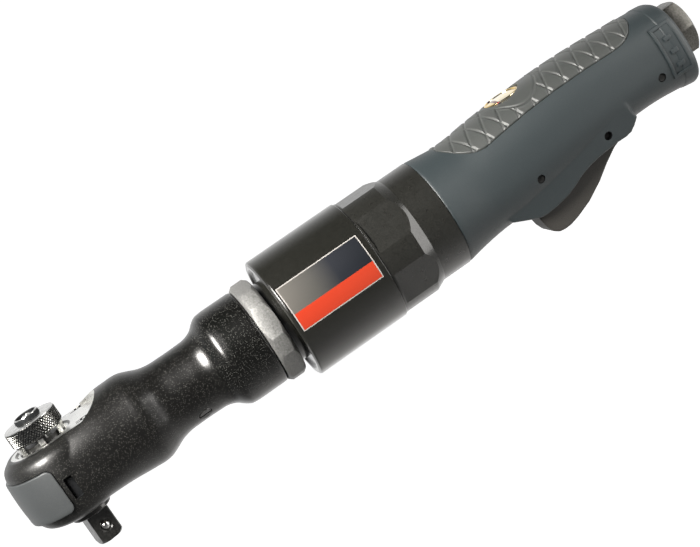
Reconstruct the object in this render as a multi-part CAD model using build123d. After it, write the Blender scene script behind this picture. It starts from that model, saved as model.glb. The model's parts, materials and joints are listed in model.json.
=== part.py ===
from build123d import *
import os
from math import acos, cos, pi, radians, sin, tan

# Heavy-duty 3/8 inch air ratchet.  Units are millimetres.
# X runs along the tool axis from the ratchet head to the air inlet, Z is up (selector knob up,
# square drive and throttle lever down).  The origin is the centre of the shoulder that a socket
# seats against on the square drive, so the drive axis is the Z axis.  Heights called "h" below
# are measured from the tool axis, which lies ZA above the origin.
ZA = 19.2

# ---------------------------------------------------------------- driving dimensions
DRIVE = 9.53            # square drive across flats
DRIVE_TIP = -31.4       # h of the drive tip
DRIVE_SHOULDER = -19.2  # h of the shoulder
DRIVE_TURN = 14.6       # resting angle of the square
BALL_R = 1.95           # detent ball
BALL_H = -25.5
BALL_OUT = 0.95         # how far the ball stands out of the face
HEAD_R = 20.6           # head puck radius
HEAD_TOP = 14.5
HEAD_BOTTOM = -16.8
SPOT_R = 26.0           # radius of the spot-faced top
PAD_R = 21.3            # nose bumper outer radius
PAD_X = -3.7            # nose bumper rear edges
BULB_X = 33.2
BULB_R = 19.2
NECK_X = 46.7
NECK_R = 15.1
COUPLING_X = 75.5
COUPLING_R = 20.3
COUPLING_END = 89.1
KNOB_R = 10.85
KNOB_LOW = 17.4
KNOB_HIGH = 24.1
KNURLS = 44
NUT_X0 = 90.1
NUT_X1 = 97.2
NUT_R = 21.6
BARREL_X0 = 100.2
BARREL_X1 = 141.0
BARREL_R = 25.9
LABEL_T = 0.12
FLAT_X1 = 156.5
REAR_R = 25.2
FLAT_APOTHEM = 23.9
CONE_X1 = 160.8
GRIP_X0 = 173.2
GRIP_R = 23.2
GRIP_X1 = 291.0
LEVER_X = 244.3         # lever pivot
LEVER_H = -10.3
PIN_R = 1.45
VALVE_X = 219.4
BADGE_X = 219.9
BADGE_R = 7.8
INLET_H = 6.2           # inlet axis above the tool axis
INLET_X1 = 299.2
INLET_AF = 21.0
INLET_BORE = 5.56       # 1/4 inch pipe thread, minor radius
CRANK_E = 1.2           # crank throw
CRANK_X = 34.0
MODULE = 0.75
SUN_TEETH = 12
PLANET_TEETH = 15
RING_TEETH = 42
ROTOR_R = 14.0
BORE_R = 16.5
BORE_OFFSET = 2.2

os.makedirs("parts", exist_ok=True)
parts = {}
LOW = (Align.CENTER, Align.CENTER, Align.MIN)


# ---------------------------------------------------------------- helpers
def turned(pts, h=0.0):
    """Closed (x, r) outline turned about the tool axis."""
    wire = Polyline(*[(x, 0, ZA + h + r) for x, r in pts], close=True)
    return revolve(make_face(wire), Axis((0, 0, ZA + h), (1, 0, 0)), 360)


def spun(pts):
    """Closed (r, h) outline turned about the drive axis."""
    wire = Polyline(*[(r, 0, ZA + h) for r, h in pts], close=True)
    return revolve(make_face(wire), Axis.Z, 360)


def bar_x(r, x0, x1, y=0.0, h=0.0):
    return Pos(x0, y, ZA + h) * Rot(0, 90, 0) * Cylinder(r, x1 - x0, align=LOW)


def bar_y(r, y0, y1, x, h):
    return Pos(x, y0, ZA + h) * Rot(-90, 0, 0) * Cylinder(r, y1 - y0, align=LOW)


def bar_z(r, h0, h1, x=0.0, y=0.0):
    return Pos(x, y, ZA + h0) * Cylinder(r, h1 - h0, align=LOW)


def tube_x(r, bore, x0, x1, y=0.0, h=0.0):
    return bar_x(r, x0, x1, y, h) - bar_x(bore, x0, x1, y, h)


def tube_z(r, bore, h0, h1, x=0.0, y=0.0):
    return bar_z(r, h0, h1, x, y) - bar_z(bore, h0, h1, x, y)


def block(x0, x1, y0, y1, h0, h1):
    low = (Align.MIN, Align.MIN, Align.MIN)
    return Pos(x0, y0, ZA + h0) * Box(x1 - x0, y1 - y0, h1 - h0, align=low)


def side_prism(pts, y0, y1):
    """Closed (x, h) outline extruded from y0 to y1."""
    wire = Polyline(*[(x, y0, ZA + h) for x, h in pts], close=True)
    return extrude(make_face(wire), amount=y1 - y0, dir=(0, 1, 0))


def power(c, n):
    return (1 if c >= 0 else -1) * abs(c) ** (2.0 / n)


def oval(x, half, top, bottom, n=2.0, count=36):
    """Rounded cross-section at x: half width, top and bottom heights, squareness n."""
    mid = (top + bottom) / 2
    tall = (top - bottom) / 2
    pts = []
    for k in range(count):
        a = 2 * pi * k / count
        pts.append((x, half * power(cos(a), n), ZA + mid + tall * power(sin(a), n)))
    return make_face(Spline(*pts, periodic=True))


def gear_outline(teeth, addendum, dedendum, thin):
    """Involute outline in the plane; thin is taken off each tooth at the pitch circle."""
    rp = MODULE * teeth / 2
    rb = rp * cos(radians(20))
    ra = rp + addendum
    rf = rp - dedendum
    half = (pi * MODULE / 2 - thin) / (2 * rp)

    def inv(r):
        t = acos(rb / r)
        return tan(t) - t

    r0 = max(rb, rf) + 1e-6
    flank = []
    for i in range(5):
        r = r0 + (ra - r0) * i / 4
        flank.append((r, half + inv(rp) - inv(r)))
    if rf < rb:
        flank.insert(0, (rf, flank[0][1]))
    pts = []
    for k in range(teeth):
        c = 2 * pi * k / teeth
        for r, a in flank:
            pts.append((r * cos(c - a), r * sin(c - a)))
        for r, a in reversed(flank):
            pts.append((r * cos(c + a), r * sin(c + a)))
    return pts


def gear_x(pts, x0, x1):
    """Plane outline (u up, v along Y) extruded along the tool axis."""
    wire = Polyline(*[(x0, v, ZA + u) for u, v in pts], close=True)
    return extrude(make_face(wire), amount=x1 - x0, dir=(1, 0, 0))


def hexagon(af, x0, x1, h):
    r = af / 2 / cos(pi / 6)
    pts = [(r * cos(pi * k / 3), r * sin(pi * k / 3)) for k in range(6)]
    wire = Polyline(*[(x0, v, ZA + h + u) for v, u in pts], close=True)
    return extrude(make_face(wire), amount=x1 - x0, dir=(1, 0, 0))


def bearing(r_out, r_in, x0, x1):
    """Shielded ball bearing: outer and inner race with a recessed shield between."""
    wall = (r_out - r_in) * 0.26
    body = tube_x(r_out, r_in, x0, x1)
    for a, b in ((x0, x0 + 0.5), (x1 - 0.5, x1)):
        body = body - tube_x(r_out - wall, r_in + wall, a, b)
    return body


# ---------------------------------------------------------------- ratchet housing
side = Spline((11.0, 0, ZA + HEAD_BOTTOM), (17.6, 0, ZA - 13.9), (20.1, 0, ZA - 8.0),
              (HEAD_R, 0, ZA - 1.0), (20.35, 0, ZA + 6.5), (19.0, 0, ZA + 11.8),
              (15.6, 0, ZA + HEAD_TOP), tangents=[(1, 0, 0.12), (-1, 0, 0.25)])
cap = Polyline((15.6, 0, ZA + HEAD_TOP), (0, 0, ZA + HEAD_TOP), (0, 0, ZA + HEAD_BOTTOM),
               (11.0, 0, ZA + HEAD_BOTTOM))
puck = revolve(make_face([side, cap]), Axis.Z, 360)
bulb_ring = Plane(origin=(BULB_X, 0, ZA), x_dir=(0, 1, 0), z_dir=(1, 0, 0)) * Circle(BULB_R)
bridge = loft([oval(1.0, 20.3, 16.0, -16.75, 3.0), oval(10.0, 20.4, 17.0, -16.85, 2.8),
               oval(20.0, 20.0, 18.3, -17.6, 2.4), oval(27.5, 19.5, 19.0, -18.7, 2.1),
               bulb_ring])
back = Spline((BULB_X, 0, ZA + BULB_R), (40.0, 0, ZA + 17.6), (44.0, 0, ZA + 15.9),
              (NECK_X, 0, ZA + 15.15), (52.5, 0, ZA + NECK_R), (60.0, 0, ZA + NECK_R),
              (65.0, 0, ZA + 15.4), (68.0, 0, ZA + 16.7), (70.5, 0, ZA + 18.5),
              (COUPLING_X, 0, ZA + COUPLING_R), tangents=[(1, 0, 0), (1, 0, 0.35)])
tail = Polyline((COUPLING_X, 0, ZA + COUPLING_R), (COUPLING_END - 0.6, 0, ZA + COUPLING_R),
                (COUPLING_END, 0, ZA + COUPLING_R - 0.6), (COUPLING_END, 0, ZA + 19.0),
                (93.5, 0, ZA + 19.0), (93.5, 0, ZA), (BULB_X, 0, ZA), (BULB_X, 0, ZA + BULB_R))
rear = revolve(make_face([back, tail]), Axis((0, 0, ZA), (1, 0, 0)), 360)
head = puck + bridge + rear
head = head - bar_z(SPOT_R, HEAD_TOP, 30.0)
# countersunk opening under the knob
head = head - spun([(0, 6.0), (13.2, 6.0), (13.2, 13.2), (11.3, 13.2), (11.3, 13.6),
                    (12.4, HEAD_TOP), (12.4, 16.0), (0, 16.0)])
# yoke chamber, fork channel, crank chamber and bearing bores
head = head - bar_z(17.2, -8.6, 6.6)
head = head - block(0, 40.0, -12.6, 12.6, -6.9, 6.3)
head = head - turned([(37.0, 0), (37.0, 9.5), (39.5, 12.0), (48.0, 12.0), (48.0, 0)])
head = head - bar_x(12.1, 48.0, 66.0)
head = head - bar_x(10.4, 66.0, 73.0)
head = head - turned([(73.0, 0), (73.0, 14.2), (76.5, 17.6), (93.6, 17.6), (93.6, 0)])
head = head - bar_z(10.6, -17.0, -8.0)
# forging recess on each side at the drive axis
for s in (-1, 1):
    head = head - block(-1.75, 1.75, min(s * 18.4, s * 22.0), max(s * 18.4, s * 22.0), -7.1, 1.9)
# nose bumper pocket
frame_block = side_prism([(-30, -10.5), (PAD_X - 2.5, -10.5), (PAD_X - 0.7, -9.8),
                          (PAD_X, -8.0), (PAD_X, 5.5), (PAD_X - 0.7, 7.3),
                          (PAD_X - 2.5, 8.0), (-30, 8.0)], -24.0, 24.0)
pad_ring = spun([(19.3, -12), (20.0, -12), (20.75, -10.5), (21.15, -6.5), (PAD_R, -1.5),
                 (21.2, 3.5), (20.9, 8.0), (20.5, 10), (19.3, 10)])
bumper = pad_ring & frame_block
head = head - (spun([(19.3, -12), (24, -12), (24, 10), (19.3, 10)]) & frame_block)
# lubrication plug hole, low on the neck
plug_at = Pos(55.4, 0, ZA) * Rot(137.0, 0, 0)
head = head - plug_at * Pos(0, 0, 11.9) * Cylinder(2.8, 4.0, align=LOW)
# generic direction letters beside the knob: F on the far side, R on the near side
def stroke(x0, x1, y0, y1):
    return block(x0, x1, y0, y1, HEAD_TOP - 0.3, HEAD_TOP + 0.5)


letter_f = stroke(13.6, 18.4, 10.4, 11.1) + stroke(17.7, 18.4, 10.4, 14.2)
letter_f = letter_f + stroke(15.7, 16.4, 10.4, 13.4)
head = head - letter_f
letter_r = stroke(13.8, 18.6, -11.6, -10.9) + stroke(17.9, 18.6, -11.6, -8.2)
letter_r = letter_r + stroke(15.9, 16.6, -11.6, -8.2) + stroke(15.9, 18.6, -8.7, -8.0)
letter_r = letter_r + stroke(13.8, 16.2, -9.4, -8.7)
head = head - letter_r
parts["ratchet_housing"] = head
parts["nose_bumper"] = bumper

plug = plug_at * Pos(0, 0, 12.1) * Cylinder(2.8, 3.1, align=LOW)
plug = plug - plug_at * Pos(0, 0, 14.6) * Box(0.7, 6.0, 1.2, align=LOW)
parts["grease_plug"] = plug & bar_x(15.15, 50.0, 61.0)

# ---------------------------------------------------------------- drive train in the head
parts["top_bush"] = spun([(11.25, 6.6), (13.2, 6.6), (13.2, 13.2), (11.25, 13.2)])
parts["lower_bush"] = tube_z(10.6, 8.65, -16.8, -8.6)
parts["thrust_washers"] = tube_z(17.2, 13.4, -8.6, -7.6) + tube_z(17.2, 13.4, 5.6, 6.6)

# anvil: square drive, journal, pawl carrier disc and threaded top
turn = Rot(0, 0, DRIVE_TURN)
shank = block(-DRIVE / 2, DRIVE / 2, -DRIVE / 2, DRIVE / 2, DRIVE_TIP, DRIVE_SHOULDER + 0.01)
shank = shank & spun([(0, DRIVE_TIP), (5.0, DRIVE_TIP), (6.45, DRIVE_TIP + 1.5), (6.45, -19.0),
                      (0, -19.0)])
anvil = shank + spun([(0, DRIVE_SHOULDER), (7.6, DRIVE_SHOULDER), (8.2, -18.6), (8.2, -16.9),
                      (8.6, -16.9), (8.6, -8.3), (12.6, -8.3), (12.6, 6.2), (8.2, 6.2),
                      (8.2, 15.6), (0, 15.6)])
pocket = tube_z(13.0, 5.5, -4.6, 4.6)
sector = Polyline((0, 0), (20 * cos(radians(36)), 20 * sin(radians(36))), (28, 0),
                  (20 * cos(radians(36)), -20 * sin(radians(36))), close=True)
wedge = Pos(0, 0, ZA - 8) * extrude(make_face(sector), 16)
for k in (0, 180):
    anvil = anvil - (pocket & (Rot(0, 0, k) * wedge))
    anvil = anvil - Rot(0, 0, k) * bar_z(1.5, -7.5, 5.5, 9.2)
anvil = anvil - bar_z(4.1, -2.0, 16.0)
anvil = anvil - bar_y(2.0, -DRIVE, 2.5, 0, BALL_H)
parts["anvil"] = turn * anvil
pins = bar_z(1.5, -7.5, 5.5, 9.2) + bar_z(1.5, -7.5, 5.5, -9.2)
parts["pawl_pins"] = turn * pins
pawl_outline = tube_z(12.3, 6.9, -4.3, 4.3)
narrow = Polyline((0, 0), (20 * cos(radians(27)), 20 * sin(radians(27))), (26, 0),
                  (20 * cos(radians(27)), -20 * sin(radians(27))), close=True)
pawl = pawl_outline & (Pos(0, 0, ZA - 8) * extrude(make_face(narrow), 16))
pawl = pawl - bar_z(1.55, -6, 6, 9.2)
for s in (-1, 1):
    pawl = pawl - Rot(0, 0, s * 16.5) * bar_z(0.55, -6, 6, 12.3)
parts["pawl_1"] = turn * pawl
parts["pawl_2"] = turn * Rot(0, 0, 180) * pawl
ball_y = -(DRIVE / 2 + BALL_OUT - BALL_R)
parts["detent_ball"] = turn * Pos(0, ball_y, ZA + BALL_H) * Sphere(BALL_R)
coil = Helix(pitch=0.8, height=2.4, radius=1.3)
coil = sweep(Plane(coil @ 0, z_dir=coil % 0) * Circle(0.22), path=coil)
detent_spring = Pos(0, 2.5 - 0.26, ZA + BALL_H) * Rot(90, 0, 0) * coil
parts["detent_spring"] = turn * detent_spring

# castellated nut that holds the anvil: six posts stand up under the knob
castle = spun([(8.2, 7.0), (11.2, 7.0), (11.2, HEAD_TOP - 0.6), (8.2, HEAD_TOP - 0.6)])
for k in range(6):
    post = block(8.8, 10.7, -1.05, 1.05, HEAD_TOP - 1.2, KNOB_LOW - 0.3)
    castle = castle + Rot(0, 0, 60 * k + 28) * post
parts["castle_nut"] = castle

# selector knob: diamond knurled skirt, dished top and a raised centre
knob = spun([(0, KNOB_LOW), (KNOB_R - 0.7, KNOB_LOW), (KNOB_R, KNOB_LOW + 0.7),
             (KNOB_R, KNOB_HIGH - 0.9), (KNOB_R - 0.6, KNOB_HIGH - 0.1),
             (KNOB_R - 1.1, KNOB_HIGH), (KNOB_R - 1.7, KNOB_HIGH - 0.7),
             (5.3, KNOB_HIGH + 1.2), (5.25, KNOB_HIGH + 2.2), (0, KNOB_HIGH + 2.2)])
groove = block(KNOB_R - 0.28, KNOB_R + 2, -0.16, 0.16, KNOB_LOW - 3, KNOB_HIGH + 3)
knob = knob - spun([(2.9, KNOB_HIGH + 0.9), (4.5, KNOB_HIGH + 1.3), (4.6, KNOB_HIGH + 3),
                    (0, KNOB_HIGH + 3), (0, KNOB_HIGH - 2.0), (2.9, KNOB_HIGH - 2.0)])
knob = knob + bar_z(4.0, 0.0, KNOB_LOW + 0.5)
knob = knob - bar_z(1.6, 10.0, KNOB_HIGH + 3)
for k in range(KNURLS):
    knob = knob - Rot(0, 0, 360.0 * k / KNURLS) * groove
for j in range(6):
    level = KNOB_LOW + 1.25 + 0.84 * j
    knob = knob - spun([(KNOB_R - 0.26, level), (KNOB_R + 1, level - 0.3), (KNOB_R + 1, level + 0.3)])
parts["selector_knob"] = knob
screw = spun([(0, 11.0), (1.6, 11.0), (1.6, KNOB_HIGH - 2.0), (2.8, KNOB_HIGH - 2.0),
              (2.8, KNOB_HIGH + 0.6), (1.2, KNOB_HIGH + 1.9), (0.9, KNOB_HIGH + 1.5),
              (0, KNOB_HIGH + 0.9)])
parts["knob_screw"] = screw

# ratchet yoke: internally toothed ring with a two-pronged fork
yoke = bar_z(16.8, -7.3, 5.3)
for s in (-1, 1):
    y0 = min(s * 6.8, s * 10.6)
    yoke = yoke + block(8.0, 38.0, y0, y0 + 3.8, -5.4, 5.0)
yoke = yoke + block(8.0, 21.0, -10.6, 10.6, -5.4, 5.0)
teeth = []
for k in range(36):
    teeth.append((13.1 * cos(2 * pi * k / 36), 13.1 * sin(2 * pi * k / 36)))
    teeth.append((14.2 * cos(2 * pi * (k + 0.5) / 36), 14.2 * sin(2 * pi * (k + 0.5) / 36)))
bore = extrude(make_face(Polyline(*[(x, y, ZA - 9) for x, y in teeth], close=True)), 18)
parts["ratchet_yoke"] = yoke - bore

# ---------------------------------------------------------------- crankshaft and planetary gears
shaft = bar_x(2.6, 29.5, 41.5, 0, CRANK_E) + turned([(41.0, 0), (41.0, 7.4), (41.8, 8.2),
        (47.2, 8.2), (47.2, 8.0), (66.4, 8.0), (74.4, 9.0), (74.4, 14.7), (79.6, 14.7),
        (79.6, 0)])
centre_r = MODULE * (SUN_TEETH + PLANET_TEETH) / 2
shaft = shaft - bar_x(6.0, 77.6, 80.0)
for k in range(3):
    spot = Rot(120 * k, 0, 0)
    hole = Pos(0, 0, ZA) * spot * Pos(0, 0, centre_r) * Rot(0, 90, 0)
    shaft = shaft - hole * Pos(0, 0, 74.0) * Cylinder(2.0, 6.0, align=LOW)
parts["crankshaft"] = shaft
parts["drive_bushing"] = turned([(CRANK_X - 3.4, 2.6), (CRANK_X - 3.4, 3.4), (CRANK_X - 2.0, 4.0),
                                 (CRANK_X + 2.0, 4.0), (CRANK_X + 3.4, 3.4),
                                 (CRANK_X + 3.4, 2.6)], CRANK_E)
pin_set = None
planet_face = gear_outline(PLANET_TEETH, 0.6, 0.9, 0.15)
for k in range(3):
    spot = Pos(0, 0, ZA) * Rot(120 * k, 0, 0) * Pos(0, 0, centre_r) * Rot(0, 90, 0)
    one = spot * Pos(0, 0, 74.4) * Cylinder(2.0, 15.4, align=LOW)
    pin_set = one if pin_set is None else pin_set + one
    wheel = gear_x(planet_face, 80.0, 88.6) - bar_x(2.05, 79.0, 90.0)
    wheel = Pos(0, 0, ZA) * Rot(120 * k, 0, 0) * Pos(0, 0, centre_r - ZA) * wheel
    parts["planet_gear_" + str(k + 1)] = wheel
parts["planet_pins"] = pin_set
cutter = gear_x(gear_outline(RING_TEETH, 0.9, 0.6, -0.15), 76.0, 94.0)
parts["ring_gear"] = bar_x(17.6, 79.9, 91.0) - cutter
parts["neck_bearing"] = tube_x(12.1, 8.05, 48.0, 66.0)
parts["shaft_seal"] = tube_x(10.4, 9.3, 66.0, 68.0) + tube_x(17.6, 15.6, 77.0, 79.9)

# ---------------------------------------------------------------- coupling
outline = []
for k in range(6):
    mid_angle = 60.0 * k + 51.5
    outline.append(mid_angle - 19.0)
    outline.append(mid_angle + 19.0)
nut = gear_x([(NUT_R * cos(radians(a)), NUT_R * sin(radians(a))) for a in outline], NUT_X0, NUT_X1)
nut = nut & turned([(NUT_X0, 0), (NUT_X0, 20.2), (NUT_X0 + 1.0, 21.7), (NUT_X1 - 1.0, 21.7),
                    (NUT_X1, 20.2), (NUT_X1, 0)])
parts["clamp_nut"] = nut - bar_x(19.0, 90.0, 94.6) - bar_x(17.0, 94.0, 98.0)
parts["coupling_ring"] = tube_x(18.9, 16.2, 93.5, 94.6)

# ---------------------------------------------------------------- barrel
barrel = turned([(91.0, 12.6), (91.0, 17.0), (93.5, 17.0), (93.5, 16.2), (94.6, 16.2),
                 (94.6, 17.0), (NUT_X1, 17.0), (NUT_X1 + 0.3, 17.4), (BARREL_X0 + 0.9, 17.4),
                 (BARREL_X0 + 0.9, 22.6), (BARREL_X0, 23.1), (BARREL_X0, 24.3),
                 (BARREL_X0 + 0.5, 25.2), (BARREL_X0 + 1.7, BARREL_R), (BARREL_X1 - 0.3, BARREL_R),
                 (BARREL_X1, BARREL_R - 0.3), (BARREL_X1, 23.4), (133.0, 23.4), (133.0, 21.5),
                 (103.5, 21.5), (103.5, 10.2), (98.0, 10.2), (98.0, 12.6)])
parts["barrel"] = barrel
band = tube_x(BARREL_R + LABEL_T, BARREL_R, 102.0, 138.5)
arc_pts = [(0, 0)]
for k in range(9):
    a = radians(-6.5 + 43.0 * k / 8)
    arc_pts.append((-40 * cos(a), 40 * sin(a)))
cheese = extrude(make_face(Polyline(*[(101.0, y, ZA + h) for y, h in arc_pts], close=True)),
                 amount=40.0, dir=(1, 0, 0))
parts["barrel_label"] = band & cheese

# ---------------------------------------------------------------- motor housing
body = turned([(133.0, 21.5), (133.0, 23.4), (BARREL_X1, 23.4), (BARREL_X1, REAR_R - 0.3),
               (BARREL_X1 + 0.3, REAR_R), (FLAT_X1, REAR_R), (CONE_X1, GRIP_R),
               (GRIP_X0, GRIP_R), (GRIP_X0, 17.5), (186.0, 17.5), (186.0, 0), (157.5, 0),
               (157.5, 21.5)])
for k in range(6):
    cut = block(BARREL_X1 + 1.0, FLAT_X1 + 3.5, -30, 30, FLAT_APOTHEM, 40)
    body = body - Pos(0, 0, ZA) * Rot(60 * k, 0, 0) * Pos(0, 0, -ZA) * cut
body = body - bar_x(4.8, 157.0, 187.0, 0, -1.0)
for s in (-1, 1):
    body = body - bar_x(3.1, 157.0, 187.0, s * 13.2, -2.0)
parts["motor_housing"] = body
parts["front_end_plate"] = bar_x(21.5, 103.5, 109.5) - bar_x(10.5, 103.0, 108.7) - bar_x(6.4, 108, 110)
parts["front_bearing"] = bearing(10.5, 6.0, 103.5, 108.5)
liner = bar_x(21.5, 109.5, 150.0) - bar_x(BORE_R, 109.0, 151.0, 0, BORE_OFFSET)
for k in range(6):
    liner = liner - block(114.0 + 5.6 * k, 116.6 + 5.6 * k, -5.0, 5.0, -23.0, -12.0)
liner = liner - block(112.0, 148.0, -4.2, 4.2, -22.0, -19.4)
parts["cylinder_liner"] = liner
plate = bar_x(21.5, 150.0, 157.5) - bar_x(9.5, 151.5, 158.0) - bar_x(4.4, 149.0, 152.0)
for s in (-1, 1):
    plate = plate - bar_x(3.1, 149.0, 158.0, s * 13.2, -2.0)
parts["rear_end_plate"] = plate
parts["rear_bearing"] = bearing(9.5, 4.0, 151.5, 157.5)
rotor = turned([(97.4, 0), (97.4, 4.2), (103.0, 4.2), (103.0, 5.96), (109.8, 5.96),
                (109.8, ROTOR_R), (149.7, ROTOR_R), (149.7, 3.96), (157.2, 3.96), (157.2, 0)])
rotor = rotor + gear_x(gear_outline(SUN_TEETH, 0.6, 0.9, 0.15), 78.2, 97.4)
vane_set = None
for k in range(5):
    here = Pos(0, 0, ZA) * Rot(72 * k + 20, 0, 0) * Pos(0, 0, -ZA)
    rotor = rotor - here * block(109.0, 151.0, 2.2, 3.8, 5.5, 20.0)
    vane = here * block(109.9, 149.6, 2.2, 3.8, 6.0, 13.4)
    vane_set = vane if vane_set is None else vane_set + vane
parts["rotor"] = rotor
parts["vanes"] = vane_set

# ---------------------------------------------------------------- handle
SECTIONS = ((GRIP_X0, 23.2, 23.2, -23.2, 2.0), (179.0, 22.4, 22.5, -22.1, 2.0),
            (189.4, 20.9, 21.5, -20.6, 2.1), (203.0, 20.3, 22.6, -19.8, 2.2),
            (222.0, 20.2, 23.7, -17.2, 2.3), (241.0, 19.9, 24.2, -14.4, 2.4),
            (257.0, 19.4, 23.7, -12.9, 2.4), (270.0, 18.9, 22.9, -12.7, 2.4),
            (281.0, 18.6, 22.3, -13.7, 2.4), (GRIP_X1, 18.4, 21.3, -15.2, 2.4))


def handle(grow):
    faces = []
    for x, half, top, bottom, n in SECTIONS:
        faces.append(oval(x, half + grow, top + grow, bottom - grow, n))
    return loft(faces)


LEAF_X, LEAF_FRONT, LEAF_REAR, LEAF_HALF = 223.5, 15.0, 11.0, 14.4


def teardrop(h0, h1):
    """Plain leaf-shaped area round the badge: pointed in front, rounded behind."""
    steps = 12
    side = []
    for i in range(steps):
        t = 1 - i / steps
        side.append((LEAF_X - LEAF_FRONT * t, LEAF_HALF * (1 - t * t)))
    for i in range(steps):
        a = radians(90 * i / steps)
        side.append((LEAF_X + LEAF_REAR * sin(a), LEAF_HALF * cos(a)))
    side.append((LEAF_X + LEAF_REAR, 0))
    far = [(x, -y) for x, y in side[1:-1]]
    ring = Polyline(*side, *far[::-1], close=True)
    return Pos(0, 0, ZA + h0) * extrude(make_face(ring), h1 - h0)


full = handle(0.0)
shroud = side_prism([(191.5, -12.0), (196.0, -18.3), (203.6, -22.2), (206.3, -23.2),
                     (209.0, -23.4), (213.5, -23.1), (219.7, -21.8), (224.0, -20.1),
                     (228.2, -18.0), (232.5, -16.7), (237.2, -15.8), (246.2, -15.1),
                     (251.3, -15.3), (253.8, -14.7), (256.0, -13.2), (258.5, -10.6),
                     (256.0, -6.0), (197.0, -6.0)], -11.2, 11.2)
grip = full + shroud
# raised band and rear frame with three plain ribs
grip = grip + (handle(0.26) & block(283.8, 292.0, -30, 30, -30, 30))
frame_pad = block(279.0, 288.4, -30, -8, -6.8, 15.2) - block(280.3, 287.3, -31, -7, -5.5, 13.8)
for k in range(3):
    frame_pad = frame_pad + block(282.2, 285.6, -30, -8, -3.4 + 5.8 * k, -1.5 + 5.8 * k)
grip = grip + (frame_pad & handle(0.5))
# inlaid grip pad over the top
pad_zone = side_prism([(185.4, 20.6), (187.0, 19.4), (190.0, 17.4), (193.0, 15.5), (196.0, 14.3),
                       (199.5, 13.7), (206.5, 14.5), (221.0, 16.0), (235.0, 16.8), (249.5, 16.8),
                       (263.5, 16.3), (267.5, 16.5), (270.5, 17.2), (273.5, 18.7), (276.0, 20.4),
                       (277.8, 21.8), (277.8, 30.0), (185.4, 30.0)], -30, 30)
pad_core = handle(-1.5)
pad = (handle(0.4) - pad_core) & pad_zone
pad = pad - teardrop(10.0, 32.0)
grip = grip - ((handle(3.0) - pad_core) & (pad_zone - teardrop(10.0, 32.0)))
grip = grip + (handle(0.4) & teardrop(18.0, 32.0))
# bores: motor spigot, air channels, valve, inlet and exhaust
grip = grip - bar_x(17.5, 173.0, 186.0)
grip = grip - bar_x(16.6, 185.9, 190.5)
grip = grip - bar_x(4.8, 186.0, VALVE_X, 0, -1.0)
grip = grip - bar_x(6.0, VALVE_X, 266.2, 0, INLET_H)
grip = grip - bar_x(8.0, 266.0, 292.0, 0, INLET_H)
grip = grip - bar_x(9.8, 290.2, 292.0, 0, INLET_H)
grip = grip - bar_z(6.5, -12.0, 20.4, VALVE_X)
grip = grip - bar_z(BADGE_R, 20.4, 30.0, BADGE_X)
for s in (-1, 1):
    grip = grip - bar_x(3.1, 186.0, 264.0, s * 13.2, -1.6)
grip = grip - block(260.5, 264.0, -15.0, 15.0, -7.5, -1.0)
grip = grip - block(262.0, 291.5, -8.0, 8.0, -9.6, -5.2)
# lever pocket
grip = grip - side_prism([(202.6, -30.0), (202.6, -11.0), (236.0, -11.0), (240.0, -5.2),
                          (249.5, -5.2), (256.0, -11.0), (257.6, -17.5), (257.6, -30.0)], -7.5, 7.5)
# cross pins
pin_places = ((211.9, -8.7), (274.4, -3.1))
for x, h in pin_places + ((LEVER_X, LEVER_H),):
    grip = grip - bar_y(PIN_R, -24, 24, x, h)
parts["grip_shell"] = grip
parts["grip_pad"] = pad

pins = None
for x, h in pin_places:
    one = bar_y(PIN_R, -17.2, 17.2, x, h) if x < 250 else bar_y(PIN_R, -16.8, 16.8, x, h)
    pins = one if pins is None else pins + one
parts["handle_pins"] = pins
parts["lever_pin"] = bar_y(PIN_R, -13.6, 13.6, LEVER_X, LEVER_H)

# badge: shallow dome with a raised rim
dome_r = 30.0
rise = dome_r - (dome_r ** 2 - (BADGE_R - 1.1) ** 2) ** 0.5
dome = Pos(BADGE_X, 0, ZA + 23.2 + rise - dome_r) * Sphere(dome_r)
badge = bar_z(BADGE_R - 1.1, 20.4, 26.5, BADGE_X) & dome
badge = badge + tube_z(BADGE_R, BADGE_R - 1.1, 20.4, 23.6, BADGE_X)
parts["badge"] = badge

# ---------------------------------------------------------------- throttle valve
seat = bar_z(6.5, -11.0, 4.5, VALVE_X) - bar_z(2.6, -12, 6, VALVE_X)
seat = seat - bar_z(4.3, -5.5, 5.0, VALVE_X) - bar_x(4.0, VALVE_X - 8, VALVE_X, 0, -1.0)
for x, h in pin_places:
    seat = seat - bar_y(PIN_R, -24, 24, x, h)
parts["valve_bush"] = seat
stem = bar_z(2.55, -13.8, 5.0, VALVE_X) + bar_z(5.4, 4.8, 6.6, VALVE_X)
stem = stem + bar_z(2.3, 6.6, 9.0, VALVE_X)
stem = stem + Pos(VALVE_X, 0, ZA - 14.7) * Cone(1.1, 2.55, 0.9, align=LOW)
parts["throttle_stem"] = stem
spring = Helix(pitch=2.1, height=8.6, radius=3.4)
spring = sweep(Plane(spring @ 0, z_dir=spring % 0) * Circle(0.45), path=spring)
parts["valve_spring"] = Pos(VALVE_X, 0, ZA + 7.25) * spring
cap = bar_z(6.5, 16.4, 20.4, VALVE_X)
parts["valve_cap"] = cap

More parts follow.
